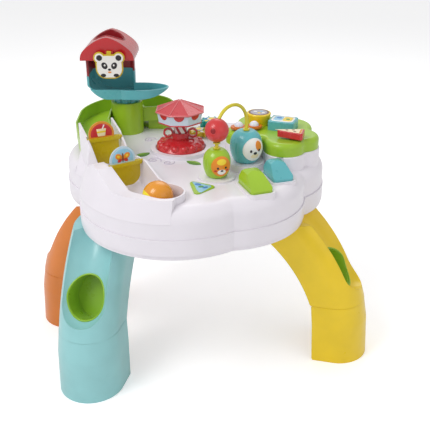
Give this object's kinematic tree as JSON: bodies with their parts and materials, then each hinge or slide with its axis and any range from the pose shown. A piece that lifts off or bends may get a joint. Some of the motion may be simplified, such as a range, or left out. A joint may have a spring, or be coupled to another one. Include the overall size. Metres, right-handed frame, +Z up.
{
  "type": "musical activity table",
  "caption": "Toddler activity table with a cloud-shaped top, bowed legs with cups, a ball tower and run, carousel, spinning drums, bead arch, pedal keys and music buttons.",
  "frame": {"origin": "on the floor, under the middle of the whole object's bounding box", "axes": "+Z up, -Y towards the child at the front with the pedal keys, +X to the right of the front"},
  "size_m": [0.642, 0.4997, 0.55],
  "materials": {
    "white_body": "smooth moulded, slightly lilac white",
    "lime_plastic": "smooth moulded",
    "aqua_plastic": "smooth moulded",
    "aqua_leg": "smooth moulded, pale",
    "orange_leg": "smooth moulded",
    "yellow_leg": "smooth moulded",
    "yellow_plastic": "smooth moulded",
    "red_plastic": "smooth moulded",
    "roof_red": "smooth moulded, bell roof",
    "dark_red_plastic": "smooth moulded, in shadow",
    "candy_stripe": "red slanting stripes on white",
    "valance_print": "white and pale blue with red scallops",
    "wire_yellow": "powder coated rod",
    "steel": "plain",
    "rubber_grey": "soft, matt",
    "board_green": "solder mask",
    "black_plastic": "plain",
    "battery_jacket": "printed sleeve, no marks",
    "print_face": "printed animal face",
    "print_disc": "printed round picture",
    "print_badge": "printed pond picture",
    "leaf_green": "two-tone green",
    "orange_face": "orange with a pale muzzle",
    "dog_face_print": "white with an orange patch",
    "orange_plastic": "smooth moulded",
    "clear_dome": "frosted light cover",
    "teal_plastic": "smooth moulded",
    "ball_plastic": "orange with a yellow half"
  },
  "bodies": {
    "table": {"deck_shell": "white_body", "base_shell": "white_body", "ball_ramp": "white_body", "spiral_slide": "lime_plastic", "tower_column": "lime_plastic", "tower_chute": "aqua_plastic", "house_walls": "dark_red_plastic", "house_roof": "roof_red", "bear_pin": "steel", "carousel_spindle": "steel", "arch_wire": "wire_yellow", "key_pads": "rubber_grey", "pond_badge": "print_badge", "leaf_plates": "leaf_green", "panel_cover": "lime_plastic", "button_mat": "rubber_grey", "circuit_board": "board_green", "speaker": "black_plastic", "battery_box": "black_plastic", "battery_door": "white_body", "batteries": "battery_jacket", "battery_contacts": "steel", "gear_pins": "white_body", "housing_screws": "steel", "front_leg": "aqua_leg", "front_cup": "lime_plastic", "front_foot": "aqua_leg", "left_leg": "orange_leg", "left_cup": "lime_plastic", "left_foot": "orange_leg", "right_leg": "yellow_leg", "right_cup": "lime_plastic", "right_foot": "yellow_leg"},
    "bear": {"bear_plate": "yellow_plastic", "bear_face": "print_face"},
    "upper_gate_body": {"upper_gate": "yellow_plastic", "upper_gate_disc": "print_disc"},
    "lower_gate_body": {"lower_gate": "yellow_plastic", "lower_gate_disc": "print_disc"},
    "carousel": {"carousel_base": "red_plastic", "carousel_hub": "red_plastic", "carousel_column": "candy_stripe", "carousel_valance": "valance_print", "carousel_roof": "red_plastic"},
    "lion": {"lion_drum": "lime_plastic", "lion_face": "orange_face"},
    "dog": {"dog_drum": "aqua_plastic", "dog_face": "dog_face_print"},
    "bead": {"arch_bead": "red_plastic"},
    "lime_key_body": {"lime_key": "lime_plastic"},
    "aqua_key_body": {"aqua_key": "aqua_plastic"},
    "drum_button_body": {"drum_button": "yellow_plastic"},
    "book_button_body": {"book_button": "aqua_plastic"},
    "slice_button_body": {"slice_button": "red_plastic"},
    "butterfly_body": {"butterfly_button": "orange_plastic", "butterfly_domes": "clear_dome"},
    "switch": {"power_switch": "black_plastic"},
    "yellow_gear_body": {"yellow_gear": "yellow_plastic"},
    "teal_gear_body": {"teal_gear": "teal_plastic"},
    "ball": {"play_ball": "ball_plastic"}
  },
  "joints": [
    {"name": "carousel_spin", "type": "hinge", "parent": "table", "child": "carousel", "pos_m": [-0.03272, 0.0427, 0.38], "axis": [0, 0, 1], "continuous": true},
    {"name": "lion_spin", "type": "hinge", "parent": "table", "child": "lion", "pos_m": [0.03428, -0.0923, 0.385], "axis": [0, 0, 1], "continuous": true},
    {"name": "dog_spin", "type": "hinge", "parent": "table", "child": "dog", "pos_m": [0.08528, -0.0433, 0.4], "axis": [0, 0, 1], "continuous": true},
    {"name": "yellow_gear_spin", "type": "hinge", "parent": "table", "child": "yellow_gear_body", "pos_m": [-0.00072, 0.1187, 0.364], "axis": [0, 0, 1], "continuous": true},
    {"name": "teal_gear_spin", "type": "hinge", "parent": "table", "child": "teal_gear_body", "pos_m": [0.02391, 0.15022, 0.369], "axis": [0, 0, 1], "continuous": true},
    {"name": "upper_gate_swing", "type": "hinge", "parent": "table", "child": "upper_gate_body", "pos_m": [-0.15872, -0.0523, 0.41], "axis": [-0.8988, -0.4384, 0], "range_deg": [-30, 40]},
    {"name": "lower_gate_swing", "type": "hinge", "parent": "table", "child": "lower_gate_body", "pos_m": [-0.11572, -0.1153, 0.388], "axis": [-0.848, -0.5299, 0], "range_deg": [-30, 40]},
    {"name": "bear_swing", "type": "hinge", "parent": "table", "child": "bear", "pos_m": [-0.16472, 0.1022, 0.523], "axis": [1, 0, 0], "range_deg": [-35, 15]},
    {"name": "bead_slide", "type": "hinge", "parent": "table", "child": "bead", "pos_m": [0.05978, -0.0678, 0.4386], "axis": [-0.6928, 0.7211, 0], "range_deg": [0, 138]},
    {"name": "lime_key_press", "type": "slide", "parent": "table", "child": "lime_key_body", "axis": [0, 0, -1], "range_m": [0, 0.004], "stiffness_N_per_m": 300, "springref_m": -0.004},
    {"name": "aqua_key_press", "type": "slide", "parent": "table", "child": "aqua_key_body", "axis": [0, 0, -1], "range_m": [0, 0.004], "stiffness_N_per_m": 300, "springref_m": -0.004},
    {"name": "drum_button_press", "type": "slide", "parent": "table", "child": "drum_button_body", "axis": [0, 0, -1], "range_m": [0, 0.003], "stiffness_N_per_m": 350, "springref_m": -0.003},
    {"name": "book_button_press", "type": "slide", "parent": "table", "child": "book_button_body", "axis": [0, 0, -1], "range_m": [0, 0.003], "stiffness_N_per_m": 350, "springref_m": -0.003},
    {"name": "slice_button_press", "type": "slide", "parent": "table", "child": "slice_button_body", "axis": [0, 0, -1], "range_m": [0, 0.003], "stiffness_N_per_m": 350, "springref_m": -0.003},
    {"name": "butterfly_press", "type": "slide", "parent": "table", "child": "butterfly_body", "axis": [0, 0, -1], "range_m": [0, 0.003], "stiffness_N_per_m": 350, "springref_m": -0.003},
    {"name": "power_switch_slide", "type": "slide", "parent": "table", "child": "switch", "axis": [1, 0, 0], "range_m": [0, 0.006]},
    {"name": "ball_lift", "type": "slide", "parent": "table", "child": "ball", "axis": [0, 0, 1], "range_m": [0, 0.12]}
  ],
  "couplings": [
    {"joint": "yellow_gear_spin", "follows": "teal_gear_spin", "ratio": -1}
  ]
}
